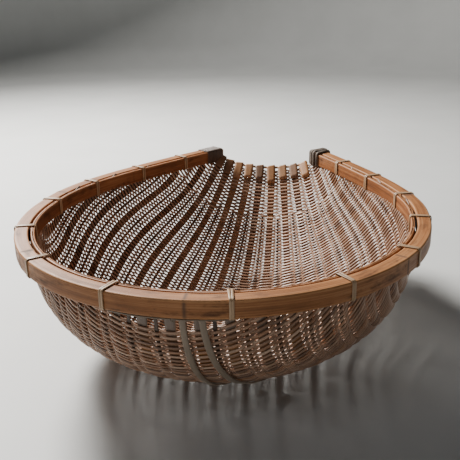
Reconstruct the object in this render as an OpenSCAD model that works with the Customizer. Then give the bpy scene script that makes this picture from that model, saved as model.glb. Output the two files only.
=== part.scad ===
// Winnowing basket: a one-sided scoop woven from split bamboo and cane.
// A horseshoe rim of two hoops grips the weave, and the open ends of the rim
// leave a mouth where the floor rises to a lip. +Z is up, +Y points out of the
// mouth, and the heel is the deep closed end behind.

/* [Rim] */
// Half width between the sides of the inner hoop at the widest line
half_width = 272; // [262:1:282]
// Reach of the heel behind the widest line, to the inner hoop
heel_reach = 281; // [270:1:292]
// Reach of the rim's tips in front of the widest line
mouth_reach = 403; // [390:1:416]
// Half width of the mouth at the tips, to the inner hoop
mouth_half = 89; // [86:1:94]
// Angle by which the tips turn in from straight ahead
tip_angle = 35; // [30:1:38]
// How far the sides run on before they draw in
side_pull = 87; // [70:1:110]
// How long the rim runs straight into its tips
tip_pull = 314; // [290:1:325]
// Height of the top of the rim above the ground
rim_top = 212; // [200:1:224]
// Height of both hoops
hoop_h = 23.5; // [20:0.5:26]
// Thickness of the inner hoop
inner_hoop_t = 5.5; // [4.5:0.5:6]
// Gap between the hoops, where the weave is gripped
grip_gap = 3.5; // [3:0.5:4]
// Thickness of the outer hoop
outer_hoop_t = 19; // [16:0.5:22]

/* [Bowl] */
// Drop from the top of the rim to the middle of the lip
lip_drop = 36; // [30:1:40]
// Fullness of the wall: a lower number stands it straighter
wall_fullness = 0.37; // [0.32:0.01:0.45]
// How late the floor rises to the lip: 1 is a straight ramp
floor_rise = 2.8; // [2.2:0.1:3.2]
// How much more slowly the wall rises in front of the widest line
wall_slack = 0.38; // [0.3:0.02:0.5]
// Depth of the belly pressed flat where the basket rests
flat_depth = 4; // [2:0.5:6]

/* [Weave] */
// Width of a main warp
warp_w = 17; // [14:0.5:18]
// Thickness of a main warp
warp_t = 1.6; // [1.2:0.1:2]
// Width of a secondary warp
thin_warp_w = 5; // [4:0.5:6]
// Thickness of a secondary warp
thin_warp_t = 1.2; // [0.8:0.1:1.6]
// Thickness of the weave, with a weft on each side of the warps
weave_t = 7; // [6:0.2:8]
// Number of warp spacings from the middle to the rim at the widest line
wide_spacings = 9.8; // [9.6:0.1:10]
// Number of warp spacings from the middle to the rim at the lip
lip_spacings = 4.9; // [4.85:0.05:4.95]
// Share of their spacing that the warps lose towards the heel
heel_draw = 0.24; // [0.18:0.02:0.3]
// Share of a spacing by which the warps drift to the left at the lip
lip_shift = 0.6; // [0.4:0.05:0.65]
// Height of the bare band of warps under the rim at the heel
bare_band = 28; // [16:1:34]
// Radius of the rod that the warps fold over at the lip
lip_rod_r = 2.5; // [2:0.25:3]
// Length of the folded warp ends that lie back on the floor
fold_len = 22; // [16:1:28]

/* [Lashings] */
// Places along half the rim: 0 is the heel, 1 the widest line, 2 the tip
lash_places = [0.16, 0.47, 0.76, 1.08, 1.47, 1.72, 1.88];
// Width of a lashing of two strands
lash_w = 7; // [5:0.5:8]
// Thickness of a strand
lash_t = 1.4; // [1:0.1:2]
// Length of the binding on the left tip
left_binding_len = 26; // [20:1:30]
// Length of the binding on the right tip
right_binding_len = 22; // [16:1:28]
// Thickness of the bark binding on the right tip
bark_t = 2.6; // [2:0.2:3.2]
// Radius of the cord tied under the rim at the heel
cord_r = 1.1; // [0.8:0.1:1.4]
// Width of the two strengthening straps under the heel
strap_w = 8; // [6:0.5:10]
// Thickness of a strap
strap_t = 2; // [1.5:0.1:2.5]

/* [Hidden] */
// Main warps on each side of the middle one
side_warps = 9;
// Radial distance from the inner hoop's inside to the middle of the weave
skin_off = inner_hoop_t + grip_gap / 2;
rim_w = inner_hoop_t + grip_gap + outer_hoop_t;
rim_bottom = rim_top - hoop_h;
skin_half = half_width + skin_off;
skin_heel = heel_reach + skin_off;
lip_z = rim_top - lip_drop;
// How fast the warps close up towards the lip, and how they even out there
closing = 1.45;
evening = 40;
evening_rate = 1.75;
// How far behind the widest line the wall starts to slacken
slack_start = 60;
// How late the warps drift to the left
shift_rate = 1.1;
// Highest warp counted from the middle that folds over the lip
last_lip_warp = floor(lip_spacings);
// Clearance between pieces that lie against each other
clear = 0.2;
// Bezier handles of the rim's side, from the widest line to the tip
SIDE = [
    [half_width, 0],
    [half_width, side_pull],
    [mouth_half + tip_pull * sin(tip_angle),
     mouth_reach - tip_pull * cos(tip_angle)],
    [mouth_half, mouth_reach]
];
// Distance that puts the origin at the middle of the whole basket's length
origin_shift = (rim_point(2, rim_w)[1] - heel_reach - rim_w) / 2;
// Rows of a strip from the widest line to the heel and to the mouth
heel_rows = 12;
mouth_rows = 14;
// Rows of a secondary warp in front of the widest line, of half the lip rod,
// of half the cord and of a strap
thin_rows = 9;
rod_rows = 12;
cord_rows = 12;
strap_rows = 12;
tube_sides = 8;
edge_steps = 40;
// How far the wefts stop below the rim, and as a share short of the lip
stop_gap = 3.5;
lip_gap = 0.08;
// Warps from the middle to the end of the bare band
bare_warps = 3.6;
// Share of a warp line's front half that a secondary warp covers
thin_reach = 0.6;
// Share of a warp's front half that the folded end lies back over
fold_share = acos(1 - fold_len / mouth_reach) / 90;
// Clearance of the lashings round the hoops, and of the bindings from the tips
band_gap = 0.2;
tip_setback = 3;
// How far in from the outer face the cord runs, and how far it hangs
cord_inset = 3;
cord_dip = 1;
// How the cord's rows crowd towards its middle, and the knot's swelling there
row_crowding = 1.6;
KNOT = [2.4, 2.1, 1.3];
// Share of the way to the heel at which the straps end under the belly
strap_end = 0.3;

bamboo = "peru";
inner_bamboo = "chocolate";
cane = "burlywood";
warp_brown = "saddlebrown";
weft_brown = "sienna";
bark = "dimgray";
strap_tan = "tan";

SIDES = [-side_warps : side_warps];

function two(n) = n < 10 ? str("0", n) : str(n);
function warp_name(k) = str("main_warp_", two(k + side_warps + 1));
function weft_name(k) = str("weft_panel_", two(k + side_warps + 1));
function unit(v) = v / norm(v);

// ---------- Outline of the rim ----------

function side_at(t) =
    pow(1 - t, 3) * SIDE[0] + 3 * pow(1 - t, 2) * t * SIDE[1]
    + 3 * (1 - t) * t * t * SIDE[2] + pow(t, 3) * SIDE[3];
function side_heading(t) = unit(
    pow(1 - t, 2) * (SIDE[1] - SIDE[0]) + 2 * (1 - t) * t * (SIDE[2] - SIDE[1])
    + t * t * (SIDE[3] - SIDE[2]));

// The right half of the rim: q runs 0 at the heel, 1 at the widest line, 2 at
// the tip. A negative q gives the left half.
function rim_heading(q) =
    let (a = abs(q), s = q < 0 ? -1 : 1,
         h = a <= 1 ? unit([half_width * cos(90 * a), heel_reach * sin(90 * a)])
                    : side_heading(a - 1))
    [h[0], s * h[1]];
function rim_outward(q) = let (h = rim_heading(q)) [h[1], -h[0]];
function rim_point(q, off) =
    let (a = abs(q), s = q < 0 ? -1 : 1,
         p = a <= 1 ? [half_width * sin(90 * a), -heel_reach * cos(90 * a)]
                    : side_at(a - 1))
    [s * p[0], p[1]] + off * rim_outward(q);
RIM_Q = [for (i = [-edge_steps : edge_steps]) 2 * i / edge_steps];

module hoop(off_in, off_out, top) {
    outline = concat(
        [for (q = RIM_Q) rim_point(q, off_out)],
        [for (i = [len(RIM_Q) - 1 : -1 : 0]) rim_point(RIM_Q[i], off_in)]);
    translate([0, 0, rim_bottom])
        linear_extrude(top - rim_bottom)
            polygon(outline);
}

// ---------- Shape of the bowl ----------

EDGE = [for (i = [0 : edge_steps])
    let (p = rim_point(1 + i / edge_steps, skin_off)) [p[1], p[0]]];
// Half width of the weave at the line y
function half_at(y) =
    y < 0 ? skin_half * sqrt(max(0, 1 - pow(y / skin_heel, 2)))
          : lookup(y, EDGE);
// Height of the middle of the floor at the line y
function floor_at(y) =
    y < 0 ? rim_top * (1 - pow(max(0, 1 - pow(y / skin_heel, 2)), wall_fullness))
          : lip_z * pow(y / mouth_reach, floor_rise);
// Power by which the wall rises at the line y
function fullness_at(y) =
    let (f = (y + slack_start) / (mouth_reach + slack_start))
    wall_fullness + wall_slack * pow(sin(180 * max(0, min(1, f))), 2);
// Number of warp spacings from the middle to the rim at the line y
function spacings_at(y) =
    wide_spacings
    - (wide_spacings - lip_spacings) * pow(max(0, y) / mouth_reach, closing);

// Where warp line u meets the rim behind and in front
function heel_end(u) =
    let (x = skin_half * sin(90 * abs(u) / wide_spacings),
         a = pow(x * heel_draw, 2),
         b = pow(skin_half, 2) - 2 * x * x * heel_draw,
         c = pow(skin_half, 2) - x * x)
    -skin_heel * sqrt(2 * c / (b + sqrt(b * b + 4 * a * c)));
function mouth_end(u) =
    abs(u) <= lip_spacings ? mouth_reach
    : mouth_reach * pow(
        (wide_spacings - abs(u)) / (wide_spacings - lip_spacings), 1 / closing);

// Distance of warp line u from the middle at the line y
function across(u, y) =
    let (n = spacings_at(y),
         even = 90 - evening * pow(max(0, y) / mouth_reach, evening_rate))
    y < 0
    ? skin_half * sin(90 * abs(u) / wide_spacings)
      * (1 - heel_draw * pow(y / skin_heel, 2))
    : half_at(y) * sin(even * min(1, abs(u) / n)) / sin(even);

// A point in the middle of the weave: u counts warps from the middle, and t
// runs from -1 at the heel to 1 at the mouth, closer together near both ends
function skin(u_line, t) =
    let (most = wide_spacings - 0.001,
         drift = lip_shift * pow(max(0, t), shift_rate)
             * (1 - pow(u_line / wide_spacings, 2)),
         u = max(-most, min(most, u_line - drift)),
         y = (t < 0 ? -heel_end(u) : mouth_end(u)) * sin(90 * t),
         x = across(u, y), w = max(half_at(y), 0.001),
         z = rim_top - (rim_top - floor_at(y))
             * pow(max(0, 1 - pow(x / w, 2)), fullness_at(y)))
    [sign(u) * x, y, max(z - flat_depth, 0) + weave_t / 2];
// Direction along a warp line, and the direction into the bowl
function along(u, t) =
    let (a = max(t - 0.01, -1), b = min(t + 0.01, 1))
    unit(skin(u, b) - skin(u, a));
function inward(u, t) =
    unit(cross(skin(u + 0.04, t) - skin(u - 0.04, t), along(u, t)));
function raised(u, t, d) = skin(u, t) + d * inward(u, t);

// Share of the way along warp line u at which the weave reaches the height z
function way_to(u, side, z, lo = 0.3, hi = 1, n = 16) =
    n == 0 ? lo
    : let (m = (lo + hi) / 2)
      skin(u, side * m)[2] < z ? way_to(u, side, z, m, hi, n - 1)
                               : way_to(u, side, z, lo, m, n - 1);

// ---------- Solids made of rows of points ----------

// Joins rows of the same number of points into one closed solid
module loft(rows) {
    m = len(rows[0]);
    n = len(rows);
    sides = [for (i = [0 : n - 2]) for (j = [0 : m - 1])
        let (a = i * m + j, b = i * m + (j + 1) % m)
        each [[a, b, a + m], [b, b + m, a + m]]];
    first = [for (j = [1 : m - 2]) [0, j + 1, j]];
    e = (n - 1) * m;
    last = [for (j = [1 : m - 2]) [e, e + j, e + j + 1]];
    polyhedron([for (r = rows) each r], concat(sides, first, last));
}

// One row of a flat strip between the warp lines u0 and u1
function strip_row(u0, t0, u1, t1, low, high) = [
    raised(u0, t0, low), raised(u1, t1, low),
    raised(u1, t1, high), raised(u0, t0, high)
];

// Half a strip's width, in warp spacings, at share t of warp line u
function half_width_in_warps(u, t, width) =
    let (step = norm(skin(u + 0.1, t) - skin(u - 0.1, t)) / 0.2)
    width / 2 / step;
// Warp line beside which the weave reaches the height z at share t
function line_at_height(t, z, lo, hi, n = 16) =
    n == 0 ? lo
    : let (m = (lo + hi) / 2)
      skin(m, t)[2] < z ? line_at_height(t, z, m, hi, n - 1)
                        : line_at_height(t, z, lo, m, n - 1);

// Moves a solid from the widest line's frame to the part's own
module placed() {
    translate([0, -origin_shift, 0]) children();
}

// ---------- Rim ----------

module outer_hoop() {
    color(bamboo) placed() hoop(inner_hoop_t + grip_gap, rim_w, rim_top);
}

module inner_hoop() {
    color(inner_bamboo) placed() hoop(0, inner_hoop_t, rim_top - 1);
}

// The rod under the folds of the warps, along the lip
module lip_rod() {
    reach = last_lip_warp + 0.45;
    color(cane) placed()
        loft([for (i = [-rod_rows : rod_rows])
            let (u = reach * i / rod_rows, up = inward(u, 1), out = along(u, 1))
            [for (j = [0 : tube_sides - 1])
                let (a = 360 * j / tube_sides)
                skin(u, 1) + lip_rod_r * (cos(a) * out + sin(a) * up)]]);
}

// ---------- Warps ----------

// Depth to which a folded warp sinks, at share t, to pass under the lip rod
function sink(t) =
    -(lip_rod_r + clear + warp_t / 2) * pow(max(0, (t - 0.8) / 0.2), 2);

// The bend of a folded warp round the lip rod, and its end back on the floor
function fold_rows(k, du) =
    let (left = skin(k - du, 1), right = skin(k + du, 1),
         up = inward(k, 1), out = along(k, 1),
         low = lip_rod_r + clear, rest = weave_t / 2 + clear)
    concat(
        [for (a = [-60 : 30 : 90])
            let (v = cos(a) * out + sin(a) * up)
            [left + (low + warp_t) * v, right + (low + warp_t) * v,
             right + low * v, left + low * v]],
        [for (i = [1 : 3])
            let (t = 1 - fold_share * i / 3, h = low + (rest - low) * i / 3)
            strip_row(k - du, t, k + du, t, h + warp_t, h)]);

module main_warp(k) {
    folds = abs(k) <= last_lip_warp;
    // The front warps stop under the inner hoop, the others go up between both
    top = abs(k) <= last_lip_warp + 2 ? rim_bottom - 2.5 : rim_top - 5;
    heel_t = way_to(k, -1, rim_top - 5);
    mouth_t = folds ? 1 : way_to(k, 1, top);
    body = [for (i = [-heel_rows : mouth_rows])
        let (t = i < 0 ? heel_t * i / heel_rows : mouth_t * i / mouth_rows,
             du = half_width_in_warps(k, t, warp_w),
             d = folds ? sink(t) : 0)
        strip_row(k - du, t, k + du, t, d - warp_t / 2, d + warp_t / 2)];
    color(warp_brown) placed()
        loft(folds
            ? concat(body, fold_rows(k, half_width_in_warps(k, 1, warp_w)))
            : body);
}

// Narrow warps laid between the main ones, from the floor's front to the heel
module secondary_warps() {
    low = weave_t / 2 + clear;
    color(warp_brown) placed()
        for (k = [-side_warps : side_warps - 1])
            let (u = k + 0.5,
                 heel_t = way_to(u, -1, rim_bottom - 3),
                 mouth_t = min(thin_reach, way_to(u, 1, rim_bottom - 3)))
            loft([for (i = [-heel_rows : thin_rows])
                let (t = i < 0 ? heel_t * i / heel_rows : mouth_t * i / thin_rows,
                     du = half_width_in_warps(u, t, thin_warp_w))
                strip_row(u - du, t, u + du, t, low, low + thin_warp_t)]);
}

// ---------- Wefts ----------

// Height at which the wefts stop below the rim at the heel, beside warp line u
function heel_stop(u) =
    rim_bottom - stop_gap - bare_band * max(0, 1 - pow(u / bare_warps, 2));
// Share of warp line u at which the wefts stop, behind (-1) and in front (1)
function weft_stop(u, side) =
    side < 0 ? way_to(u, -1, heel_stop(u))
    : abs(u) <= last_lip_warp ? 1 - lip_gap
    : min(1 - lip_gap, way_to(u, 1, rim_bottom - stop_gap));

// The wefts woven between main warp k and the next one, as a closed panel
module weft_panel(k) {
    color(weft_brown) placed()
        loft([for (i = [-heel_rows : mouth_rows])
            let (side = i < 0 ? -1 : 1,
                 share = i / (i < 0 ? heel_rows : mouth_rows),
                 t0 = share * weft_stop(k, side),
                 t1 = share * weft_stop(k + 1, side),
                 g = clear + warp_w / 2,
                 u0 = k + half_width_in_warps(k, t0, 2 * g),
                 u1 = k + 1 - half_width_in_warps(k + 1, t1, 2 * g))
            strip_row(u0, t0, u1, t1, -weave_t / 2, weave_t / 2)]);
}

// The wefts between the last main warp on the right and the rim
module rim_panel() {
    k = side_warps;
    high = rim_bottom - stop_gap;
    color(weft_brown) placed()
        loft([for (i = [-heel_rows : mouth_rows])
            let (side = i < 0 ? -1 : 1,
                 share = i / (i < 0 ? heel_rows : mouth_rows),
                 t = share * way_to(k + 0.3, side, high - 2),
                 u0 = k + half_width_in_warps(k, t, warp_w + 2 * clear),
                 u1 = max(u0 + 0.02, line_at_height(t, high, k, wide_spacings)))
            strip_row(u0, t, u1, t, -weave_t / 2, weave_t / 2)]);
}

// ---------- Lashings, cord and straps ----------

// Puts its children at the middle of the rim, their +X outward, +Y along it
module at_rim(q) {
    p = rim_point(q, rim_w / 2);
    h = rim_heading(q);
    translate([p[0], p[1], rim_bottom + hoop_h / 2])
        rotate([0, 0, atan2(h[1], h[0]) - 90])
            children();
}

// A band of thickness t wound round both hoops over a length of the rim
module band(length, t) {
    g = 2 * band_gap;
    difference() {
        cube([rim_w + g + 2 * t, length, hoop_h + g + 2 * t], center = true);
        cube([rim_w + g, length + 2, hoop_h + g], center = true);
    }
}

module rim_lashings() {
    color(cane) placed()
        for (q = lash_places, s = [-1, 1])
            at_rim(s * q) band(lash_w, lash_t);
}

// Place of a binding of the given length near a tip of the rim
function binding_place(length) = 2 - (length / 2 + tip_setback) / (3 * tip_pull);

module left_tip_binding() {
    color(bark) placed()
        at_rim(-binding_place(left_binding_len)) band(left_binding_len, lash_t);
}

module right_tip_binding() {
    color(bark) placed()
        at_rim(binding_place(right_binding_len)) band(right_binding_len, bark_t);
}

// The thin cord tied under the outer hoop between the two heel lashings
module rim_cord() {
    q_end = lash_places[0] - 0.012;
    z = rim_bottom - cord_r - clear;
    color(cane) placed()
        loft([for (i = [-cord_rows : cord_rows])
            let (f = abs(i) / cord_rows,
                 q = q_end * sign(i) * pow(f, row_crowding),
                 p = rim_point(q, rim_w - cord_inset),
                 n = rim_outward(q),
                 r = cord_r * (abs(i) < len(KNOT) ? KNOT[abs(i)] : 1),
                 middle = z - cord_dip * (1 - pow(f, 2)) - (r - cord_r))
            [for (j = [0 : tube_sides - 1])
                let (a = 360 * j / tube_sides)
                [p[0] + n[0] * r * cos(a), p[1] + n[1] * r * cos(a),
                 middle + r * sin(a)]]]);
}

// A flat strap on the outside of the weave, from the rim down under the belly
module strap(u_top, u_low) {
    top_t = way_to(u_top, -1, rim_bottom - 2.5);
    low = -(weave_t / 2 + clear);
    color(strap_tan) placed()
        loft([for (i = [0 : strap_rows])
            let (f = i / strap_rows,
                 t = -top_t + (top_t - strap_end) * f,
                 u = u_top + (u_low - u_top) * f,
                 du = half_width_in_warps(u, t, strap_w))
            strip_row(u - du, t, u + du, t, low - strap_t, low)]);
}

module left_strap() { strap(0.45, 1.1); }
module right_strap() { strap(1.1, 2.3); }

// ---------- The basket ----------

outer_hoop();
inner_hoop();
lip_rod();
for (k = SIDES)
    main_warp(k);
secondary_warps();
for (k = [-side_warps : side_warps - 1])
    weft_panel(k);
mirror([1, 0, 0]) rim_panel();  // left_rim_wefts
rim_panel();  // right_rim_wefts
rim_lashings();
left_tip_binding();
right_tip_binding();
rim_cord();
left_strap();
right_strap();
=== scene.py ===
import math

import bpy
import numpy as np
from mathutils import Matrix, Vector


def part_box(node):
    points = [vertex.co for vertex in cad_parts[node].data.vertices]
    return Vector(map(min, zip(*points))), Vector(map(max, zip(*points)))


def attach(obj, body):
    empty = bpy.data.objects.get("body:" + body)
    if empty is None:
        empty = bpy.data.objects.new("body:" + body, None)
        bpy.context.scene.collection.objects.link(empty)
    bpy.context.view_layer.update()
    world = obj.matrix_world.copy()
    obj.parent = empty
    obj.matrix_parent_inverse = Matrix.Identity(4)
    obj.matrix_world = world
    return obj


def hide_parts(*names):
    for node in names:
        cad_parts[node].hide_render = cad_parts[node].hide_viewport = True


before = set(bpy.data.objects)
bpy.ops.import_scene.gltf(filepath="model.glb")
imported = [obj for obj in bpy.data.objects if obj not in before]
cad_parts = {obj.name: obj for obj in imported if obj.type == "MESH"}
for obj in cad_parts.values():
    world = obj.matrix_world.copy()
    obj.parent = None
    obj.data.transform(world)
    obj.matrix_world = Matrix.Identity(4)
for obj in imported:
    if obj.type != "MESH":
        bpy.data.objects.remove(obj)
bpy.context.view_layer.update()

MM = 0.001
rng = np.random.default_rng(11)

# ---------- Sizes of the basket, in millimetres, as the frame has them ----------

HALF_WIDTH, HEEL_REACH, MOUTH_REACH, MOUTH_HALF = 272, 281, 403, 89
TIP_ANGLE, SIDE_PULL, TIP_PULL = math.radians(35), 87, 314
RIM_TOP, HOOP_H = 212, 23.5
INNER_HOOP_T, GRIP_GAP, OUTER_HOOP_T = 5.5, 3.5, 19
LIP_DROP, WALL_FULLNESS, WALL_SLACK, FLOOR_RISE, FLAT_DEPTH = 36, 0.37, 0.38, 2.8, 4
WARP_W, WARP_T, THIN_WARP_W, THIN_WARP_T, WEAVE_T = 17, 1.6, 5, 1.2, 7
WIDE_SPACINGS, LIP_SPACINGS, HEEL_DRAW = 9.8, 4.9, 0.24
CLOSING, EVENING, EVENING_RATE = 1.45, 40, 1.75
SLACK_START, LIP_SHIFT, SHIFT_RATE = 60, 0.6, 1.1
BARE_BAND, LIP_ROD_R, FOLD_LEN = 28, 2.5, 22
# From the lip rod's middle to the middle of the warp that is bent round it
FOLD_REACH = LIP_ROD_R + 0.2 + WARP_T / 2
LASH_PLACES = (0.16, 0.47, 0.76, 1.08, 1.47, 1.72, 1.88)
LEFT_BINDING_LEN, RIGHT_BINDING_LEN = 42, 22
CORD_R, CORD_INSET, CORD_DIP = 1.1, 3, 1
SIDE_WARPS, LAST_LIP_WARP = 9, 4

RIM_W = INNER_HOOP_T + GRIP_GAP + OUTER_HOOP_T
RIM_BOTTOM = RIM_TOP - HOOP_H
SKIN_OFF = INNER_HOOP_T + GRIP_GAP / 2
SKIN_HALF, SKIN_HEEL = HALF_WIDTH + SKIN_OFF, HEEL_REACH + SKIN_OFF
LIP_Z = RIM_TOP - LIP_DROP
MOST = WIDE_SPACINGS - 0.001
# The widest line lies this far in front of the frame's origin, taken from the outer hoop
SHIFT = -(HEEL_REACH + RIM_W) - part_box("outer_hoop")[0][1] / MM

# Spacing of the wefts, one weft's half thickness and half width, and the length of one of its steps
WEFT_PITCH, WEFT_R, WEFT_HALF_W, WEFT_STEP = 3.85, 1.3, 2.06, 3.2
# Line in front of which only the main warps carry the wefts
THIN_WARP_REACH = 325

# ---------- Outline of the rim ----------


def unit(v):
    return v / np.maximum(np.linalg.norm(v, axis=-1, keepdims=True), 1e-9)


def ease(x):
    """From 0 to 1, slow at both ends."""
    x = np.clip(x, 0, 1)
    return x * x * (3 - 2 * x)


def side_curve(t):
    """The rim's right side from the widest line (0) to the tip (1), and its heading."""
    a = np.array([
        [HALF_WIDTH, 0], [HALF_WIDTH, SIDE_PULL],
        [MOUTH_HALF + TIP_PULL * math.sin(TIP_ANGLE), MOUTH_REACH - TIP_PULL * math.cos(TIP_ANGLE)],
        [MOUTH_HALF, MOUTH_REACH]], float)
    t = np.asarray(t, float)[..., None]
    p = (1 - t) ** 3 * a[0] + 3 * (1 - t) ** 2 * t * a[1] + 3 * (1 - t) * t * t * a[2] + t ** 3 * a[3]
    h = (1 - t) ** 2 * (a[1] - a[0]) + 2 * (1 - t) * t * (a[2] - a[1]) + t * t * (a[3] - a[2])
    return p, unit(h)


def rim_line(q, off=0.0):
    """Points at q (0 heel, 1 widest line, 2 tip, negative on the left), headings and outwards."""
    q = np.asarray(q, float)
    a, s = np.abs(q), np.where(q < 0, -1.0, 1.0)
    turn = np.pi / 2 * np.clip(a, 0, 1)
    back = np.stack([HALF_WIDTH * np.sin(turn), -HEEL_REACH * np.cos(turn)], -1)
    back_h = unit(np.stack([HALF_WIDTH * np.cos(turn), HEEL_REACH * np.sin(turn)], -1))
    front, front_h = side_curve(np.clip(a - 1, 0, 1))
    p = np.where((a <= 1)[..., None], back, front)
    h = np.where((a <= 1)[..., None], back_h, front_h)
    out = np.stack([h[..., 1], -h[..., 0]], -1)
    p = p + np.asarray(off, float)[..., None] * out
    return (np.stack([s * p[..., 0], p[..., 1]], -1), np.stack([h[..., 0], s * h[..., 1]], -1),
            np.stack([s * out[..., 0], out[..., 1]], -1))


# ---------- Shape of the bowl ----------

edge_line = rim_line(1 + np.linspace(0, 1, 201), SKIN_OFF)[0]


def half_at(y):
    """Half the bowl's width at y."""
    back = SKIN_HALF * np.sqrt(np.maximum(0, 1 - (y / SKIN_HEEL) ** 2))
    return np.where(y < 0, back, np.interp(y, edge_line[:, 1], edge_line[:, 0]))


def floor_at(y):
    """Height of the bowl's middle line at y."""
    back = RIM_TOP * (1 - np.maximum(0, 1 - (y / SKIN_HEEL) ** 2) ** WALL_FULLNESS)
    return np.where(y < 0, back, LIP_Z * (np.maximum(y, 0) / MOUTH_REACH) ** FLOOR_RISE)


def heel_end(u):
    """Where warp line u meets the rim at the heel."""
    x = SKIN_HALF * np.sin(np.pi / 2 * np.abs(u) / WIDE_SPACINGS)
    a, b = (x * HEEL_DRAW) ** 2, SKIN_HALF ** 2 - 2 * x * x * HEEL_DRAW
    c = SKIN_HALF ** 2 - x * x
    return -SKIN_HEEL * np.sqrt(2 * c / (b + np.sqrt(b * b + 4 * a * c)))


def mouth_end(u):
    """Where warp line u meets the rim or the lip in front."""
    left = np.clip((WIDE_SPACINGS - np.abs(u)) / (WIDE_SPACINGS - LIP_SPACINGS), 0, 1)
    return MOUTH_REACH * left ** (1 / CLOSING)


def across(u, y):
    """How far warp line u lies from the middle of the bowl at y."""
    front = np.maximum(y, 0) / MOUTH_REACH
    n = WIDE_SPACINGS - (WIDE_SPACINGS - LIP_SPACINGS) * front ** CLOSING
    even = np.radians(90 - EVENING * front ** EVENING_RATE)
    drawn = 1 - HEEL_DRAW * (y / SKIN_HEEL) ** 2
    back = SKIN_HALF * np.sin(np.pi / 2 * np.abs(u) / WIDE_SPACINGS) * drawn
    fan = np.sin(even * np.minimum(1, np.abs(u) / n)) / np.sin(even)
    return np.where(y < 0, back, half_at(y) * fan)


def weave(u, t):
    """Point in the middle of the weave: u counts warps from the middle, t runs -1 heel to 1 mouth."""
    drift = LIP_SHIFT * np.maximum(0, t) ** SHIFT_RATE * (1 - (np.asarray(u) / WIDE_SPACINGS) ** 2)
    u, t = np.broadcast_arrays(np.clip(u - drift, -MOST, MOST), t)
    y = np.where(t < 0, -heel_end(u), mouth_end(u)) * np.sin(np.pi / 2 * t)
    x, w = across(u, y), np.maximum(half_at(y), 0.001)
    slack = np.sin(np.pi * np.clip((y + SLACK_START) / (MOUTH_REACH + SLACK_START), 0, 1)) ** 2
    full = WALL_FULLNESS + WALL_SLACK * slack
    z = RIM_TOP - (RIM_TOP - floor_at(y)) * np.maximum(0, 1 - (x / w) ** 2) ** full
    z = (z - FLAT_DEPTH + np.sqrt((z - FLAT_DEPTH) ** 2 + 0.6)) / 2 + WEAVE_T / 2
    return np.stack([np.sign(u) * x, y, z], -1)


def inward(u, t):
    """Direction into the bowl, square to the weave."""
    du = weave(u + 0.03, t) - weave(u - 0.03, t)
    dt = weave(u, np.clip(t + 0.008, -1, 1)) - weave(u, np.clip(t - 0.008, -1, 1))
    return unit(np.cross(du, dt))


def warp_width(t):
    """A main warp is widest at the lip, where it folds over, and narrower towards the heel."""
    return WARP_W * (1 - 0.24 * ease((1 - t) / 0.45))


def way_to(u, side, z):
    """Share of the way along warp line u at which the weave reaches the height z."""
    ts = np.linspace(0.3, 1, 1401)
    rise = weave(u, side * ts)[:, 2]
    return float(np.interp(z, np.maximum.accumulate(rise), ts))


# ---------- Meshes made of swept rows ----------


def length_along(points):
    """Length from the first point to each point of a line."""
    return np.concatenate([[0], np.cumsum(np.linalg.norm(np.diff(points, axis=0), axis=1))])


def new_piece(name, verts, faces, uvs, tone, warmth):
    """A finished mesh in the frame, with its strand map and its tones. verts in millimetres."""
    mesh = bpy.data.meshes.new(name)
    at = np.asarray(verts, float) - [0, SHIFT, 0]
    mesh.from_pydata(at * MM, [], faces)
    layer = mesh.uv_layers.new(name="strand")
    layer.data.foreach_set("uv", np.asarray(uvs, np.float32).ravel())
    for label, values in (("tone", tone), ("warmth", warmth)):
        attribute = mesh.attributes.new(label, "FLOAT", "POINT")
        attribute.data.foreach_set("value", np.asarray(values, np.float32))
    mesh.polygons.foreach_set("use_smooth", np.full(len(mesh.polygons), True))
    mesh.update()
    piece = bpy.data.objects.new(name, mesh)
    bpy.context.scene.collection.objects.link(piece)
    return piece


class Bundle:
    """Gathers closed strands, each a sweep of the same number of points per ring, into one mesh."""

    def __init__(self):
        self.verts, self.faces, self.uvs, self.tone, self.warmth = [], [], [], [], []
        self.count = 0

    def add(self, rings, tone=0.5, warmth=0.5, start=0.0):
        """rings is an n by m by 3 array whose rings turn right-handed round the way they run."""
        n, m = rings.shape[:2]
        i, j = np.meshgrid(np.arange(n - 1), np.arange(m), indexing="ij")
        a = i * m + j
        b = i * m + (j + 1) % m
        quads = np.stack([a, b, b + m, a + m], -1).reshape(-1, 4) + self.count
        run = start + length_along(rings.mean(1))
        girth = length_along(np.concatenate([rings[n // 2], rings[n // 2][:1]]))
        uv = np.stack([
            np.stack([run[i], girth[j]], -1), np.stack([run[i], girth[j + 1]], -1),
            np.stack([run[i + 1], girth[j + 1]], -1), np.stack([run[i + 1], girth[j]], -1)], 2)
        self.faces += quads.tolist()
        self.uvs.append(uv.reshape(-1, 2) * MM)
        for first, order in ((0, range(m - 1, -1, -1)), ((n - 1) * m, range(m))):
            self.faces.append([self.count + first + k for k in order])
            end = np.full(m, run[0 if first == 0 else -1])
            self.uvs.append(np.stack([end, girth[list(order)]], -1) * MM)
        self.verts.append(rings.reshape(-1, 3))
        self.tone.append(np.broadcast_to(tone, (n, m)).reshape(-1))
        self.warmth.append(np.broadcast_to(warmth, (n, m)).reshape(-1))
        self.count += n * m

    def piece(self, name):
        return new_piece(name, np.concatenate(self.verts), self.faces, np.concatenate(self.uvs),
                         np.concatenate(self.tone), np.concatenate(self.warmth))


def rod_rings(points, up, radius, sides=6, flat=1.0):
    """Round or flattened rings along points; up is a direction square to the way they run."""
    along = unit(np.gradient(points, axis=0))
    up = unit(up - np.sum(up * along, -1, keepdims=True) * along)
    side = np.cross(along, up)
    a = (np.arange(sides) + 0.5) * 2 * np.pi / sides
    r = np.broadcast_to(radius, (len(points),))[:, None, None]
    return points[:, None] + r * (np.cos(a)[None, :, None] * up[:, None]
                                  + flat * np.sin(a)[None, :, None] * side[:, None])


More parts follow.
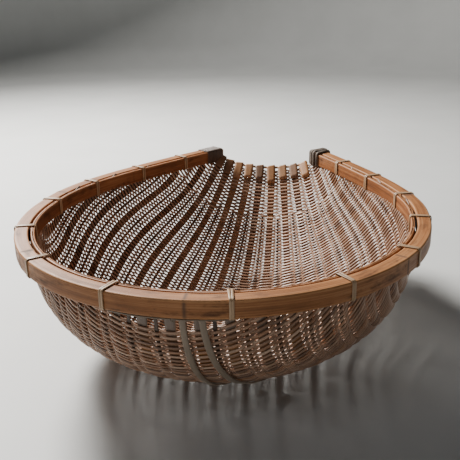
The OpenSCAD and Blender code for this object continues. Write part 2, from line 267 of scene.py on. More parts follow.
def strip_rings(left_to_right, up, middle, width, thick, profile):
    """Rings of a flat strip. The profile's points are shares of half the width and thickness."""
    w = np.broadcast_to(width, (len(middle),))[:, None, None] / 2
    t = np.broadcast_to(thick, (len(middle),))[:, None, None] / 2
    prof = np.asarray(profile, float)
    return (middle[:, None] + w * prof[None, :, :1] * left_to_right[:, None]
            + t * prof[None, :, 1:] * up[:, None])


# Split bamboo: flat below, a little crowned above, with soft edges
SPLIT = [(-0.97, -0.8), (-1, 0.1), (-0.93, 0.75), (-0.5, 1), (0, 1.12), (0.5, 1),
         (0.93, 0.75), (1, 0.1), (0.97, -0.8), (0.5, -1), (-0.5, -1)]


def smooth_noise(n, step, seed):
    """A gentle random line of n values between -1 and 1, with a bend about every step values."""
    r = np.random.default_rng(seed)
    knots = r.uniform(-1, 1, int(n / step) + 4)
    x = np.linspace(0, len(knots) - 2.01, n)
    i = x.astype(int)
    f = x - i
    f = f * f * (3 - 2 * f)
    return knots[i] * (1 - f) + knots[i + 1] * f


def even_steps(points, step):
    """Where along a line of points its evenly spaced stations lie."""
    run = length_along(points)
    n = max(4, int(run[-1] / step) + 1)
    return np.interp(np.linspace(0, run[-1], n), run, np.arange(len(points)))


def at_steps(steps, values):
    """Values at fractional stations of a line."""
    return np.interp(steps, np.arange(len(values)), values)


# ---------- Finishes ----------


class Grain:
    """A value in a finish, so that a pattern reads as a sum or a product."""

    def __init__(self, finish, socket):
        self.finish, self.socket = finish, socket

    def _sum(self, how, first, second):
        return self.finish.add("ShaderNodeMath", {"operation": how}, {0: first, 1: second})

    def __add__(self, other):
        return self._sum("ADD", self, other)

    __radd__ = __add__

    def __sub__(self, other):
        return self._sum("SUBTRACT", self, other)

    def __rsub__(self, other):
        return self._sum("SUBTRACT", other, self)

    def __mul__(self, other):
        return self._sum("MULTIPLY", self, other)

    __rmul__ = __mul__

    def clip(self, low, high):
        """0 at low, 1 at high, eased between."""
        return self.finish.add("ShaderNodeMapRange", {"interpolation_type": "SMOOTHSTEP"},
                               {"Value": self, "From Min": low, "From Max": high})


class Finish:
    """One material of the basket, built node by node."""

    def __init__(self, name, roughness):
        self.material = bpy.data.materials.new(name)
        self.material.use_nodes = True
        self.tree = self.material.node_tree
        self.shader = next(n for n in self.tree.nodes if n.type == "BSDF_PRINCIPLED")
        self.shader.inputs["Roughness"].default_value = roughness

    def add(self, kind, settings=None, sockets=None, out=0):
        node = self.tree.nodes.new(kind)
        for key, value in (settings or {}).items():
            if key == "stops":
                ramp = node.color_ramp
                while len(ramp.elements) < len(value):
                    ramp.elements.new(1.0)
                for stop, (place, colour) in zip(ramp.elements, value):
                    stop.position = place
                    stop.color = (*colour, 1)
            else:
                setattr(node, key, value)
        for key, value in (sockets or {}).items():
            self.feed(node.inputs[key], value)
        return Grain(self, node.outputs[out])

    def feed(self, socket, value):
        if isinstance(value, Grain):
            self.tree.links.new(value.socket, socket)
        elif isinstance(value, tuple) and socket.type == "RGBA":
            socket.default_value = (*value, 1)
        else:
            socket.default_value = value

    def strand(self):
        """Metres along the strand and round it."""
        return self.add("ShaderNodeUVMap", {"uv_map": "strand"})

    def place(self):
        return self.add("ShaderNodeTexCoord", out="Object")

    def attribute(self, name):
        return self.add("ShaderNodeAttribute", {"attribute_name": name}, out="Fac")

    def stretched(self, where, scale):
        return self.add("ShaderNodeMapping", {}, {"Vector": where, "Scale": scale})

    def noise(self, where, scale, detail=3.0, rough=0.55):
        return self.add("ShaderNodeTexNoise", {}, {"Vector": where, "Scale": scale, "Detail": detail,
                                                    "Roughness": rough})

    def mix(self, amount, first, second):
        node = self.tree.nodes.new("ShaderNodeMix")
        node.data_type = "RGBA"
        node.clamp_factor = True
        self.feed(node.inputs["Factor"], amount)
        self.feed(node.inputs[6], first)
        self.feed(node.inputs[7], second)
        return Grain(self, node.outputs[2])

    def ramp(self, value, stops):
        return self.add("ShaderNodeValToRGB", {"stops": stops}, {"Fac": value})

    def bump(self, height, strength, distance):
        relief = {"Height": height, "Strength": strength, "Distance": distance}
        self.feed(self.shader.inputs["Normal"], self.add("ShaderNodeBump", {}, relief, out="Normal"))

    def done(self, colour, roughness=None):
        self.feed(self.shader.inputs["Base Color"], colour)
        if roughness is not None:
            self.feed(self.shader.inputs["Roughness"], roughness)
        return self.material


def cane_finish(name, dark, middle, light, gloss):
    """Round or split cane: streaks along each strand and a tone of its own."""
    f = Finish(name, gloss)
    strand = f.strand()
    fibre = f.noise(f.stretched(strand, (60.0, 900.0, 1.0)), 1.0, 3.0)
    worn = f.noise(f.place(), 16.0, 3.0)
    shade = f.attribute("tone") + (fibre - 0.5) * 0.28 + (worn - 0.5) * 0.35
    colour = f.ramp(shade, [(0.12, dark), (0.5, middle), (0.92, light)])
    warm = f.attribute("warmth").clip(0.35, 1.0)
    colour = f.mix(warm * 0.45, colour, (0.42, 0.17, 0.06))
    f.bump(fibre, 0.25, 0.0004)
    return f.done(colour, gloss + (worn - 0.5) * 0.3)


def split_bamboo_finish(name, dark, middle, light):
    """Flat split bamboo: fine fibres along the strip, smoke stains across it."""
    f = Finish(name, 0.4)
    strand = f.strand()
    fibre = f.noise(f.stretched(strand, (14.0, 1300.0, 1.0)), 1.0, 4.0, 0.6)
    band = f.noise(f.stretched(strand, (22.0, 90.0, 1.0)), 1.0, 3.0)
    soot = f.noise(f.place(), 9.0, 4.0)
    shade = f.attribute("tone") + (fibre - 0.5) * 0.55 + (band - 0.5) * 0.35 + (soot - 0.5) * 0.4
    colour = f.ramp(shade, [(0.1, dark), (0.5, middle), (0.95, light)])
    warm = f.attribute("warmth")
    colour = f.mix(warm.clip(0.3, 1.0) * 0.55, colour, (0.46, 0.2, 0.06))
    # A strip with no warmth at all has weathered grey
    weathered = f.mix(fibre, (0.07, 0.058, 0.05), (0.24, 0.2, 0.17))
    colour = f.mix((1 - warm.clip(0.0, 0.2)) * 0.7, colour, weathered)
    f.bump(fibre, 0.3, 0.0005)
    return f.done(colour, 0.4 + (band - 0.5) * 0.35)


def rim_finish(name, dark, middle, light):
    """Rubbed bamboo of the hoops: grain along the hoop, dark mottling, pale worn arrises."""
    f = Finish(name, 0.5)
    f.shader.inputs["Specular IOR Level"].default_value = 0.25
    strand = f.strand()
    fibre = f.noise(f.stretched(strand, (9.0, 620.0, 1.0)), 1.0, 5.0, 0.65)
    streak = f.noise(f.stretched(strand, (5.0, 150.0, 1.0)), 1.0, 4.0)
    blotch = f.noise(f.stretched(strand, (26.0, 60.0, 1.0)), 1.0, 5.0, 0.62)
    grime = f.noise(f.place(), 7.0, 4.0)
    fleck = f.noise(f.stretched(strand, (160.0, 700.0, 1.0)), 1.0, 2.0)
    shade = 0.52 + (fibre - 0.5) * 0.7 + (streak - 0.5) * 0.7 + (grime - 0.5) * 0.5
    colour = f.ramp(shade, [(0.15, dark), (0.5, middle), (0.85, light)])
    soot = blotch.clip(0.5, 0.7) * grime.clip(0.3, 0.58)
    knuckle = f.attribute("warmth").clip(0.6, 1.0)
    colour = f.mix(soot * 0.8, colour, dark)
    colour = f.mix(fleck.clip(0.62, 0.72) * 0.4, colour, (0.03, 0.018, 0.012))
    colour = f.mix(knuckle * 0.75, colour, (0.07, 0.045, 0.033))
    worn = f.attribute("tone").clip(0.5, 1.0)
    colour = f.mix(worn * fibre.clip(0.25, 0.6) * 0.62, colour, light)
    f.bump(fibre + blotch * 0.6, 0.28, 0.0007)
    return f.done(colour, 0.52 + (blotch - 0.5) * 0.4 + knuckle * 0.15)


def bark_finish(name, dark, light):
    """Twisted bark: ridged, rough and dull."""
    f = Finish(name, 0.72)
    ridge = f.noise(f.stretched(f.place(), (1.0, 1.0, 0.5)), 160.0, 5.0, 0.7)
    lump = f.noise(f.place(), 60.0, 3.0)
    colour = f.ramp(ridge * 0.6 + lump * 0.4, [(0.3, dark), (0.7, light)])
    f.bump(ridge, 0.6, 0.001)
    return f.done(colour, 0.6 + ridge * 0.3)


# Each finish has a dark, a middle and a light colour
rim_bamboo = rim_finish(
    "rim_bamboo", (0.06, 0.022, 0.008), (0.29, 0.115, 0.04), (0.52, 0.26, 0.115))
hoop_lath = rim_finish(
    "inner_hoop_bamboo", (0.05, 0.018, 0.007), (0.25, 0.09, 0.03), (0.45, 0.21, 0.09))
main_warp_bamboo = split_bamboo_finish(
    "main_warp_bamboo", (0.05, 0.027, 0.015), (0.23, 0.12, 0.062), (0.5, 0.3, 0.17))
thin_warp_bamboo = split_bamboo_finish(
    "thin_warp_bamboo", (0.02, 0.012, 0.008), (0.08, 0.045, 0.026), (0.22, 0.13, 0.075))
weft_cane = cane_finish(
    "weft_cane", (0.1, 0.055, 0.035), (0.36, 0.215, 0.142), (0.64, 0.46, 0.34), 0.36)
lashing_cane = cane_finish(
    "lashing_cane", (0.13, 0.075, 0.04), (0.42, 0.275, 0.16), (0.64, 0.46, 0.3), 0.45)
dark_cane = cane_finish(
    "dark_binding_cane", (0.02, 0.012, 0.008), (0.075, 0.043, 0.027), (0.2, 0.12, 0.075), 0.42)
bast = cane_finish(
    "rim_cord_bast", (0.08, 0.06, 0.045), (0.2, 0.155, 0.115), (0.36, 0.29, 0.22), 0.6)
strap_cane = cane_finish(
    "strap_cane", (0.10, 0.078, 0.06), (0.25, 0.195, 0.145), (0.42, 0.34, 0.26), 0.55)
bark = bark_finish("bark_binding", (0.035, 0.026, 0.02), (0.2, 0.155, 0.12))


def settle(piece, finish, slot, *nodes):
    """Gives a piece its finish and its place in the frame."""
    piece.data.materials.clear()
    piece.data.materials.append(finish)
    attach(piece, "root")
    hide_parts(*nodes)
    return piece


# ---------- Hoops of the rim ----------


# A point on the flat before and after each soft corner keeps the wear on the arris. The corners
# come in this order: upper outer, upper inner, lower inner, lower outer.
BEFORE_CORNER = ((0, -2.2), (1.6, 0), (0, 2.2), (-1.2, 0))
AFTER_CORNER = ((-2.2, 0), (0, -2.2), (1.2, 0), (0, 2.2))
TOP_WEAR, UNDER_WEAR, FLAT_WEAR = 1.0, 0.72, 0.3


def hoop_section(off_in, off_out, low, high, soft_out, soft_in):
    """Points round a hoop's section, as (outward, up), and how worn each one is."""
    section, wear = [], []
    corners = ((off_out, high, soft_out), (off_in, high, soft_in),
               (off_in, low, soft_in), (off_out, low, soft_out))
    for k, (o, z, soft) in enumerate(corners):
        middle_o = o - soft if o == off_out else o + soft
        middle_z = z - soft if z == high else z + soft
        arc = [(middle_o + soft * math.cos(a), middle_z + soft * math.sin(a))
               for a in np.radians(np.linspace(90 * k, 90 * k + 90, 4))]
        section.append((arc[0][0] + BEFORE_CORNER[k][0], arc[0][1] + BEFORE_CORNER[k][1]))
        section += arc
        section.append((arc[-1][0] + AFTER_CORNER[k][0], arc[-1][1] + AFTER_CORNER[k][1]))
        wear += [FLAT_WEAR] + 4 * [TOP_WEAR if z == high else UNDER_WEAR] + [FLAT_WEAR]
    return np.array(section), np.array(wear)


def add_hoop(name, finish, slot, node, offs, high, softs, seed, knuckles, darkness):
    """A hoop from the left tip round the heel to the right tip, with the bamboo's knuckles on it."""
    off_in, off_out = offs
    section, wear = hoop_section(off_in, off_out, RIM_BOTTOM, high, *softs)
    qs = np.linspace(-2, 2, 321)
    p, _, out = rim_line(qs, 0)
    run = length_along(p)
    sway = 0.35 * smooth_noise(len(qs), 14, seed)
    lift = 0.3 * smooth_noise(len(qs), 18, seed + 1)
    swell = np.zeros(len(qs))
    mark = np.zeros(len(qs))
    for place in knuckles:
        swell += 0.7 * np.exp(-((run - place) / 4.5) ** 2)
        mark += np.exp(-((run - place) / 3.2) ** 2) + 0.45 * np.exp(-((run - place - 7) / 9) ** 2)
    middle = (off_in + off_out) / 2
    o = section[None, :, 0] + sway[:, None] + swell[:, None] * np.sign(section[None, :, 0] - middle) * 0.8
    z = np.minimum(section[None, :, 1] + lift[:, None] * 0.5 - 0.2 + swell[:, None] * 0.4, high)
    rings = np.concatenate([p[:, None] + o[..., None] * out[:, None], z[..., None]], -1)
    bundle = Bundle()
    bundle.add(rings[:, ::-1], wear[::-1], np.clip(mark, 0, 1)[:, None] * darkness)
    settle(bundle.piece(name), finish, slot, node)


# Knuckles lie at these lengths from the left tip
OUTER_KNUCKLES = (118, 392, 655, 905, 1180, 1440)
INNER_KNUCKLES = (230, 560, 860, 1090, 1370)
add_hoop("outer_hoop_bamboo", rim_bamboo, "rim_bamboo", "outer_hoop",
         (INNER_HOOP_T + GRIP_GAP, RIM_W), RIM_TOP, (2.3, 1.3), 5, OUTER_KNUCKLES, 1.0)
add_hoop("inner_hoop_lath", hoop_lath, "inner_hoop_bamboo", "inner_hoop",
         (0, INNER_HOOP_T), RIM_TOP - 1, (1.2, 1.6), 9, INNER_KNUCKLES, 0.9)

# ---------- Warps ----------

# Each strand starts this far along the grain from the last one, so that no two look alike
STRAND_APART = 700.0
# Tone and warmth of the main warps from left to right; the middle nine fold over the lip
# The tones differ from strip to strip, and the five on the left wall are set darker still as painted
# shade.
WARP_TONES_AND_SHADE = (0.12, 0.16, 0.1, 0.18, 0.12, 0.36, 0.42, 0.66, 0.7, 0.28,
              0.3, 0.55, 0.5, 0.62, 0.5, 0.46, 0.55, 0.5, 0.45)
WARP_WARMTHS = (0.3, 0.4, 0.3, 0.5, 0.4, 0.3, 0.45, 0.75, 0.7, 0.4,
                0.85, 0.7, 0.25, 0.95, 0.6, 0.4, 0.5, 0.4, 0.3)


def warp_rings(u, t_from, t_to, sinks, width, thick, seed):
    """Rings of a flat strip along warp line u. A strip that folds at the lip sinks towards it."""
    ts = np.linspace(t_from, t_to, 600)
    ts = at_steps(even_steps(weave(u, ts), 7.0), ts)
    mid = weave(np.full(len(ts), u), ts)
    up = inward(np.full(len(ts), u), ts)
    along = unit(np.gradient(mid, axis=0))
    right = unit(np.cross(along, up))
    wide = (warp_width(ts) if width == WARP_W else width) * (1 + 0.05 * smooth_noise(len(ts), 5, seed))
    if sinks:
        mid = mid - up * (FOLD_REACH * np.maximum(0, (ts - 0.8) / 0.2) ** 2)[:, None]
    mid = mid + up * (0.18 * smooth_noise(len(ts), 3, seed + 7))[:, None]
    return strip_rings(right, up, mid, wide, thick, SPLIT), up[-1], along[-1], right[-1], ts


def fold_rings(u, up, along, right):
    """Rings of a warp's end, bent round the lip rod and laid back over the floor."""
    turns = np.radians(np.arange(-60, 91, 15))
    bend_out = np.array([math.cos(a) * along + math.sin(a) * up for a in turns])
    bend = weave(u, 1.0) + FOLD_REACH * bend_out
    length = FOLD_LEN + 3 * rng.uniform(-1, 1)
    flap_t = 1 - np.arccos(1 - length / MOUTH_REACH) / (np.pi / 2) * np.linspace(0.15, 1, 7)
    us = np.full(7, u)
    flap_up = inward(us, flap_t)
    high = np.linspace(FOLD_REACH, WEAVE_T / 2 + 0.4 + WARP_T / 2, 7)[:, None]
    mids = np.concatenate([bend, weave(us, flap_t) + flap_up * high])
    ups = np.concatenate([-bend_out, -flap_up])
    flap_wide = WARP_W * (1.02 - 0.12 * np.linspace(0, 1, 7) ** 3)
    wide = np.concatenate([np.full(len(bend), WARP_W * 1.03), flap_wide])
    return strip_rings(np.tile(right, (len(mids), 1)), ups, mids, wide, WARP_T, SPLIT)


for k in range(-SIDE_WARPS, SIDE_WARPS + 1):
    number = k + SIDE_WARPS
    u = float(k)
    folds = abs(k) <= LAST_LIP_WARP
    top = RIM_BOTTOM - 2.5 if abs(k) <= LAST_LIP_WARP + 2 else RIM_TOP - 5
    mouth_t = 1.0 if folds else way_to(u, 1, top)
    rings, up, along, right, ts = warp_rings(u, -way_to(u, -1, RIM_TOP - 5), mouth_t, folds,
                                             WARP_W, WARP_T, 100 + number)
    if folds:
        rings = np.concatenate([rings, fold_rings(u, unit(up), along, right)])
    # Weathered grey under the rim of the heel, where no weft covers it
    ts = np.concatenate([ts, np.ones(len(rings) - len(ts))])
    heel = ease((ts + 0.93) / 0.12)[:, None]
    bundle = Bundle()
    # Each strip's own tone, with painted shade on the five warps of the left wall
    bundle.add(rings, WARP_TONES_AND_SHADE[number] * heel + 0.45 * (1 - heel), WARP_WARMTHS[number] * heel,
               start=number * STRAND_APART)
    settle(bundle.piece(f"main_warp_strip_{number + 1:02d}"), main_warp_bamboo, "main_warp_bamboo",
           f"main_warp_{number + 1:02d}")

bundle = Bundle()
for k in range(-SIDE_WARPS, SIDE_WARPS):
    u = k + 0.5
    reach = THIN_WARP_REACH + rng.uniform(-9, 9)
    ends = min(reach / float(mouth_end(np.array(u))), 0.999)
    mouth_t = min(math.asin(ends) / (math.pi / 2), way_to(u, 1, RIM_BOTTOM + 3))
    rings = warp_rings(u, -way_to(u, -1, RIM_BOTTOM + 4), mouth_t, False, THIN_WARP_W, THIN_WARP_T,
                       200 + k)[0]
    bundle.add(rings, rng.uniform(0.3, 0.6), rng.uniform(0.2, 0.6), start=k * 600.0)
settle(bundle.piece("secondary_warp_strips"), thin_warp_bamboo, "thin_warp_bamboo", "secondary_warps")

us = np.linspace(-LAST_LIP_WARP - 0.45, LAST_LIP_WARP + 0.45, 60)
line = weave(us, np.ones(60))
bundle = Bundle()
bundle.add(rod_rings(line, inward(us, np.full(60, 0.999)), LIP_ROD_R, 10), 0.5, 0.5)
settle(bundle.piece("lip_rod_cane"), lashing_cane, "lashing_cane", "lip_rod")

# ---------- Wefts ----------

# A fine net over the bowl: warp lines U, shares T of the way, and lengths RUN from the widest line
HALF_LINES, HALF_SHARES = 489, 600
U = np.arange(-HALF_LINES, HALF_LINES + 1) * 0.02
T = np.linspace(-1, 1, 2 * HALF_SHARES + 1)
net = weave(U[:, None], T[None, :])
gaps = np.linalg.norm(np.diff(net, axis=1), axis=2)
RUN = np.concatenate([np.zeros((len(U), 1)), np.cumsum(gaps, axis=1)], 1)
RUN -= RUN[:, HALF_SHARES:HALF_SHARES + 1]
TOP_Z = RIM_BOTTOM + 4
front_len = RUN[:, -1]
# The wefts run parallel to the lip in front, and so lie a little wider apart at the sides
spread = np.interp(np.clip(U, -4.3, 5.2), U, front_len) / front_len[HALF_LINES]
heel_stop = np.interp(RIM_BOTTOM - BARE_BAND, net[HALF_LINES, HALF_SHARES::-1, 2],
                      RUN[HALF_LINES, HALF_SHARES::-1])
FEWEST_LINES = 6


def weft_course(s):
    """The warp lines that the weft at s from the widest line crosses, and its share t along each."""
    t = np.full(len(U), np.nan)
    for side in (1, -1):
        for i in range(HALF_LINES, -1 if side < 0 else len(U), side):
            want = s * spread[i] if s > 0 else s
            if not RUN[i, 0] < want < RUN[i, -1]:
                break
            share = np.interp(want, RUN[i], T)
            if weave(U[i], share)[2] > TOP_Z + 3:
                break
            t[i] = share
    kept = ~np.isnan(t)
    return U[kept], t[kept]


def weft_rings(s, side, lane_seed, seed):
    """Rings of the weft at s, or None where there is no room for it.

    It passes in and out of the warps, and side says on which side of the middle warp it lies.
    """
    u, t = weft_course(s)
    if len(u) < FEWEST_LINES:
        return None
    line = weave(u, t)
    keep = line[:, 2] < TOP_Z
    if s > 0:
        keep &= (line[:, 1] < MOUTH_REACH - 4)
    u, t, line = u[keep], t[keep], line[keep]
    if len(u) < FEWEST_LINES:
        return None
    steps = even_steps(line, WEFT_STEP)
    u, t = at_steps(steps, u), at_steps(steps, t)
    n = len(u)
    mid, up = weave(u, t), inward(u, t)
    spacing = np.linalg.norm(weave(u + 0.05, t) - weave(u - 0.05, t), axis=1) / 0.1
    nearest = np.round(u)
    from_warp = np.abs(u - nearest)
    # It lies flat over a main warp, then crosses to the other side
    flat = np.minimum((warp_width(t) / 2 + 0.3) / spacing, 0.42)
    flat_thin = np.minimum(1.6 / spacing, 0.12)
    h_main, h_thin = WARP_T / 2 + WEFT_R + 0.05, THIN_WARP_T / 2 + WEFT_R + 0.05
    if mid[n // 2, 1] > THIN_WARP_REACH:
        crossed = ease((from_warp - flat) / np.maximum(1 - 2 * flat, 0.05))
        d = side * np.where(nearest % 2 == 0, 1.0, -1.0) * h_main * (1 - 2 * crossed)
    else:
        crossed = ease((from_warp - flat) / np.maximum(0.5 - flat_thin - flat, 0.02))
        d = side * (h_main * (1 - crossed) - h_thin * crossed)
    # At the rim it slips between the hoops
    from_end = np.minimum(np.arange(n), np.arange(n)[::-1]) * WEFT_STEP
    beside_rim = np.where(mid[:, 2] > RIM_BOTTOM - 16, ease(from_end / 13), 1.0)
    d = d * (0.12 + 0.88 * beside_rim)
    lane = 0.22 * smooth_noise(n, 9, lane_seed)
    along = unit(np.gradient(mid, axis=0))
    mid = mid + up * d[:, None] + np.cross(up, along) * lane[:, None]
    # Packed loosely on the left wall and at the lip, close everywhere else
    loose_left = ease((-u - 1.0) / 2)
    at_lip = ease((mid[:, 1] - THIN_WARP_REACH + 45) / 40)
    full = 1 - 0.13 * np.maximum(loose_left, at_lip)
    radius = WEFT_R * full * (1 + 0.07 * smooth_noise(n, 14, seed))
    return rod_rings(mid, up, radius, WEFT_SIDES, WEFT_HALF_W / WEFT_R)


# Sides of a weft's section, and the most triangles that a band holds before the next one begins
WEFT_SIDES, BAND_TRIANGLES = 8, 85000
all_wefts = [f"weft_panel_{i:02d}" for i in range(1, 19)] + ["left_rim_wefts", "right_rim_wefts"]
first = int(math.ceil(heel_stop / WEFT_PITCH))
last = int((front_len[HALF_LINES] - 4) / WEFT_PITCH)
bundle, band, tris = Bundle(), 1, 0
for j in range(first, last + 1):
    s = j * WEFT_PITCH + 0.12 * rng.uniform(-1, 1)
    made = weft_rings(s, 1 if j % 2 else -1, 1000 + j, 3600 + 2 * j)
    if made is None:
        continue
    tone = float(np.clip(0.5 + 0.12 * rng.standard_normal(), 0.15, 0.9))
    warmth = float(np.clip(0.4 + 0.25 * rng.standard_normal(), 0, 1))
    bundle.add(made, tone, warmth, start=(j + 300) * STRAND_APART)
    tris += len(made) * 2 * WEFT_SIDES
    if tris > BAND_TRIANGLES:
        settle(bundle.piece(f"weft_band_{band:02d}"), weft_cane, "weft_cane", *all_wefts)
        bundle, band, tris = Bundle(), band + 1, 0
settle(bundle.piece(f"weft_band_{band:02d}"), weft_cane, "weft_cane", *all_wefts)

# ---------- Lashings, bindings, cord and straps ----------


def at_rim(q):
    """Turns and moves a thing made round the origin (+X outward, +Y along) to the rim at q."""
    p, h, _ = (v[0] for v in rim_line(np.array([q]), RIM_W / 2))
    turn = math.atan2(h[1], h[0]) - math.pi / 2
    place = Vector((p[0], p[1] - SHIFT, RIM_BOTTOM + HOOP_H / 2)) * MM
    return Matrix.Translation(place) @ Matrix.Rotation(turn, 4, "Z")


def loose():
    """Deselects everything."""
    for o in bpy.context.selected_objects:
        o.select_set(False)


def wound_strand(name, width, thick, room):
    """One flat strand wound once round both hoops, as a closed sleeve with rounded corners."""
    loose()
    size = ((RIM_W + 2 * room) * MM, width * MM, (HOOP_H + 2 * room) * MM)
    bpy.ops.mesh.primitive_cube_add(size=1, location=(0, 0, 0), scale=size)
    sleeve = bpy.context.object
    sleeve.name = name
    bpy.ops.object.transform_apply(location=True, rotation=True, scale=True)
    bpy.ops.object.mode_set(mode="EDIT")
    bpy.ops.mesh.select_mode(type="FACE")
    bpy.ops.mesh.select_all(action="DESELECT")
    bpy.ops.object.mode_set(mode="OBJECT")
    for face in sleeve.data.polygons:
        face.select = abs(face.normal.y) > 0.9
    bpy.ops.object.mode_set(mode="EDIT")
    bpy.ops.mesh.delete(type="ONLY_FACE")
    bpy.ops.mesh.select_mode(type="EDGE")
    bpy.ops.mesh.select_all(action="DESELECT")
    bpy.ops.object.mode_set(mode="OBJECT")
    for edge in sleeve.data.edges:
        a, b = (sleeve.data.vertices[i].co for i in edge.vertices)
        edge.select = abs(a.y - b.y) > 0.5 * size[1]
    bpy.ops.object.mode_set(mode="EDIT")
    bpy.ops.mesh.bevel(offset=2.6 * MM, segments=3, affect="EDGES")
    bpy.ops.mesh.select_all(action="SELECT")
    bpy.ops.mesh.normals_make_consistent(inside=False)
    bpy.ops.object.mode_set(mode="OBJECT")
    thicken = sleeve.modifiers.new("strand", "SOLIDIFY")
    thicken.thickness = thick * MM
    thicken.offset = 1
    bpy.ops.object.modifier_apply(modifier="strand")
    soften = sleeve.modifiers.new("edges", "BEVEL")
    soften.width = 0.42 * thick * MM
    soften.segments = 2
    soften.limit_method = "ANGLE"
    soften.angle_limit = math.radians(50)
    bpy.ops.object.modifier_apply(modifier="edges")
    bpy.ops.object.shade_smooth_by_angle(angle=math.radians(50))
    return sleeve


def strands_at(name, pattern, places, finish, slot, node, tone=0.5):
    """Copies a wound strand to its places on the rim, as one piece.

    A place is q on the rim, a shift along it, a lean, and how far the strand stands out.
    """
    loose()
    copies = []
    for q, along, lean, grow in places:
        one = pattern.copy()
        one.data = pattern.data.copy()
        bpy.context.scene.collection.objects.link(one)
        fit = Matrix.Diagonal((1 + grow / RIM_W, 1, 1 + grow / HOOP_H, 1))
        one.data.transform(at_rim(q) @ Matrix.Translation((0, along * MM, 0))
                           @ Matrix.Rotation(lean, 4, "Z") @ fit)
        shades = (("tone", tone + 0.12 * rng.uniform(-1, 1)), ("warmth", 0.3 * rng.uniform(0, 1)))
        for label, value in shades:
            layer = one.data.attributes.new(label, "FLOAT", "POINT")
            layer.data.foreach_set("value", np.full(len(one.data.vertices), value, np.float32))
        copies.append(one)
    for one in copies:
        one.select_set(True)
    bpy.context.view_layer.objects.active = copies[0]
    if len(copies) > 1:
        bpy.ops.object.join()
    whole = bpy.context.object
    whole.name = name
    corners = np.empty(len(whole.data.vertices) * 3)
    whole.data.vertices.foreach_get("co", corners)
    corners = corners.reshape(-1, 3)
    layer = whole.data.uv_layers.active or whole.data.uv_layers.new(name="strand")
    layer.name = "strand"
    loops = np.empty(len(whole.data.loops), int)
    whole.data.loops.foreach_get("vertex_index", loops)
    # The grain runs up the strand's sides and slants over its top
    flat = np.stack([corners[:, 2] + 0.3 * corners[:, 0],
                     0.7 * corners[:, 0] + 0.7 * corners[:, 1]], -1)
    layer.data.foreach_set("uv", flat[loops].astype(np.float32).ravel())
    return settle(whole, finish, slot, node)


strand = wound_strand("strand_pattern", 2.9, 1.3, 0.35)
for number, q in enumerate(sorted([s * q for q in LASH_PLACES for s in (-1, 1)])):
    lean = rng.uniform(-0.05, 0.05)
    strands_at(f"rim_lashing_{number + 1:02d}", strand,
               [(q, -1.75, lean + 0.02, 0.0), (q, 1.75, lean - 0.02, 0.15)],
               lashing_cane, "lashing_cane", "rim_lashings", tone=0.55)
left_q = -(2 - (LEFT_BINDING_LEN / 2 + 3) / (3 * TIP_PULL))
left_turns = [(left_q, a, rng.uniform(-0.03, 0.03), rng.uniform(0, 0.4))
              for a in np.linspace(-18.5, 18.5, 12)]
strands_at("left_tip_winding", strand, left_turns, dark_cane, "dark_binding_cane", "left_tip_binding",
           tone=0.45)
thick_strand = wound_strand("bark_pattern", 5.4, 3.0, 0.4)
right_q = 2 - (RIGHT_BINDING_LEN / 2 + 3) / (3 * TIP_PULL)
bark_turns = ((-9.5, 0.3, 0.4), (-5.2, -0.12, 2.0), (-0.6, 0.26, 3.2),
              (3.2, -0.2, 1.2), (7.2, 0.22, 2.6), (9.6, -0.1, 0.6))
strands_at("right_tip_bark", thick_strand, [(right_q, *turn) for turn in bark_turns],
           bark, "bark_binding", "right_tip_binding")
for pattern in (strand, thick_strand):
    bpy.data.objects.remove(pattern)

# The thin cord under the rim at the heel, with its knot
qs = np.linspace(-LASH_PLACES[0] + 0.012, LASH_PLACES[0] - 0.012, 90)
p = rim_line(qs, RIM_W - CORD_INSET)[0]
dip = CORD_DIP * (1 - (qs / LASH_PLACES[0]) ** 2) + 0.25 * smooth_noise(90, 9, 31)
line = np.concatenate([p, (RIM_BOTTOM - CORD_R - 0.2 - dip)[:, None]], 1)
bundle = Bundle()
radius = CORD_R * (1 + 0.12 * smooth_noise(90, 4, 33))
bundle.add(rod_rings(line, np.tile([0.0, 0, 1], (90, 1)), radius, 8), 0.5, 0.3)
knot = line[50]
for lean, size, rise in ((0.5, 2.0, 0.0), (-0.4, 2.2, -0.6), (1.3, 1.8, 0.5)):
    a = np.linspace(0, 2 * np.pi * 0.97, 20)
    loop = knot + np.stack([size * np.sin(a) * math.cos(lean), 0.5 * size * np.cos(a) + 0.6 * np.sin(a),
                            size * 0.8 * np.cos(a) + rise + size * np.sin(a) * math.sin(lean)], -1)
    bundle.add(rod_rings(loop, np.tile([0.3, 1.0, 0.2], (20, 1)), 0.75, 6), 0.6, 0.3)
settle(bundle.piece("rim_cord_strand"), bast, "rim_cord_bast", "rim_cord")


def strap(name, u_top, u_low, node, seed):
    """A flat vine strap outside the weave, from under the rim down to the belly."""
    top_t = way_to(u_top, -1, RIM_BOTTOM - 1.5)
    f = np.linspace(0, 1, 400)
    t = -top_t + (top_t - 0.3) * f
    u = u_top + (u_low - u_top) * f ** 1.2
    steps = even_steps(weave(u, t), 4.0)
    t, u, f = at_steps(steps, t), at_steps(steps, u), at_steps(steps, f)
    up = inward(u, t)
    proud = 1.0 * np.sin(np.pi * np.clip(f * 1.3, 0, 1)) + 0.3 * smooth_noise(len(f), 6, seed)
    mid = weave(u, t) - up * (WEAVE_T / 2 + 1.3 + proud)[:, None]
    along = unit(np.gradient(mid, axis=0))
    right = unit(np.cross(along, up))
    wide = 8 * (1 - 0.25 * f ** 3) * (1 + 0.06 * smooth_noise(len(f), 6, seed + 2))
    rings = strip_rings(right, -up, mid, wide, 2.0, SPLIT)
    bundle = Bundle()
    bundle.add(rings[:, ::-1], 0.5, 0.15, start=seed * 90.0)
    settle(bundle.piece(name), strap_cane, "strap_cane", node)


strap("left_vine_strap", 0.45, 1.1, "left_strap", 41)
strap("right_vine_strap", 1.1, 2.3, "right_strap", 43)

# ---------- Floor, light and camera ----------

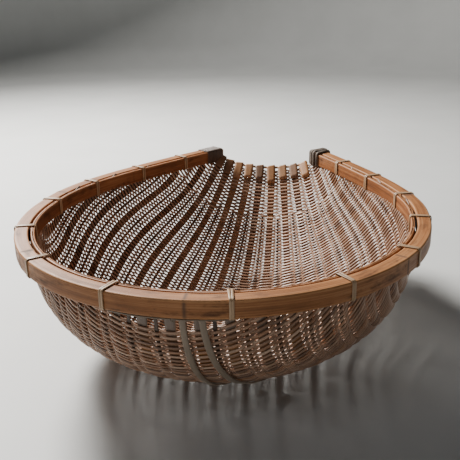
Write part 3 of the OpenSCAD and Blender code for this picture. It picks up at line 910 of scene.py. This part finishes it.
# A round floor whose edge sweeps up into a pale backdrop all round
loose()
bpy.ops.mesh.primitive_circle_add(vertices=96, radius=3.2, fill_type="NGON", location=(0, 0, 0))
floor = bpy.context.object
floor.name = "floor"
bpy.ops.object.mode_set(mode="EDIT")
bpy.ops.mesh.select_all(action="SELECT")
bpy.ops.mesh.region_to_loop()
for grow, rise in ((1.08, 0.03), (1.06, 0.12), (1.04, 0.3), (1.01, 0.5)):
    bpy.ops.mesh.extrude_edges_move(TRANSFORM_OT_translate={"value": (0, 0, rise)})
    bpy.ops.transform.resize(value=(grow, grow, 1), center_override=(0, 0, 0))
bpy.ops.mesh.select_all(action="SELECT")
bpy.ops.mesh.normals_make_consistent(inside=True)
bpy.ops.object.mode_set(mode="OBJECT")
bpy.ops.object.shade_smooth_by_angle(angle=math.radians(60))
plaster = Finish("floor_plaster", 0.6)
cloud = plaster.noise(plaster.place(), 5.0, 5.0)
floor.data.materials.append(plaster.done(plaster.mix(cloud, (0.52, 0.53, 0.52), (0.62, 0.63, 0.62))))

world = bpy.data.worlds.new("pale_room")
bpy.context.scene.world = world
world.use_nodes = True
sky = world.node_tree.nodes["Background"]
sky.inputs["Color"].default_value = (0.80, 0.84, 0.88, 1)
sky.inputs["Strength"].default_value = 0.04


def soft_light(name, at, aim, size, watts, colour):
    loose()
    bpy.ops.object.light_add(type="AREA", location=at)
    light = bpy.context.object
    light.name = name
    light.rotation_euler = (Vector(aim) - Vector(at)).to_track_quat("-Z", "Y").to_euler()
    light.data.shape = "RECTANGLE"
    light.data.size, light.data.size_y = size
    light.data.energy = watts
    light.data.color = colour


soft_light("window", (-1.55, 1.25, 1.8), (0, 0, 0.1), (0.7, 0.6), 225, (1.0, 0.97, 0.93))
soft_light("room_fill", (-0.7, -1.6, 1.9), (0, 0, 0.15), (1.0, 0.8), 5, (0.95, 0.97, 1.0))

CAMERA_AT = (0.221, (-969 - SHIFT) * MM, 0.537)
YAW, PITCH, ROLL = -0.215, 0.343, -0.02
ahead = Vector((math.sin(YAW) * math.cos(PITCH), math.cos(YAW) * math.cos(PITCH), -math.sin(PITCH)))
level = Vector((math.cos(YAW), -math.sin(YAW), 0))
above = level.cross(ahead)
right = level * math.cos(ROLL) + above * math.sin(ROLL)
above = -level * math.sin(ROLL) + above * math.cos(ROLL)
loose()
bpy.ops.object.camera_add()
camera = bpy.context.object
turn = Matrix((right, above, -ahead)).transposed().to_4x4()
camera.matrix_world = Matrix.Translation(CAMERA_AT) @ turn
camera.data.lens = 54.78
camera.data.sensor_width = 36
camera.data.dof.use_dof = False
bpy.context.scene.camera = camera
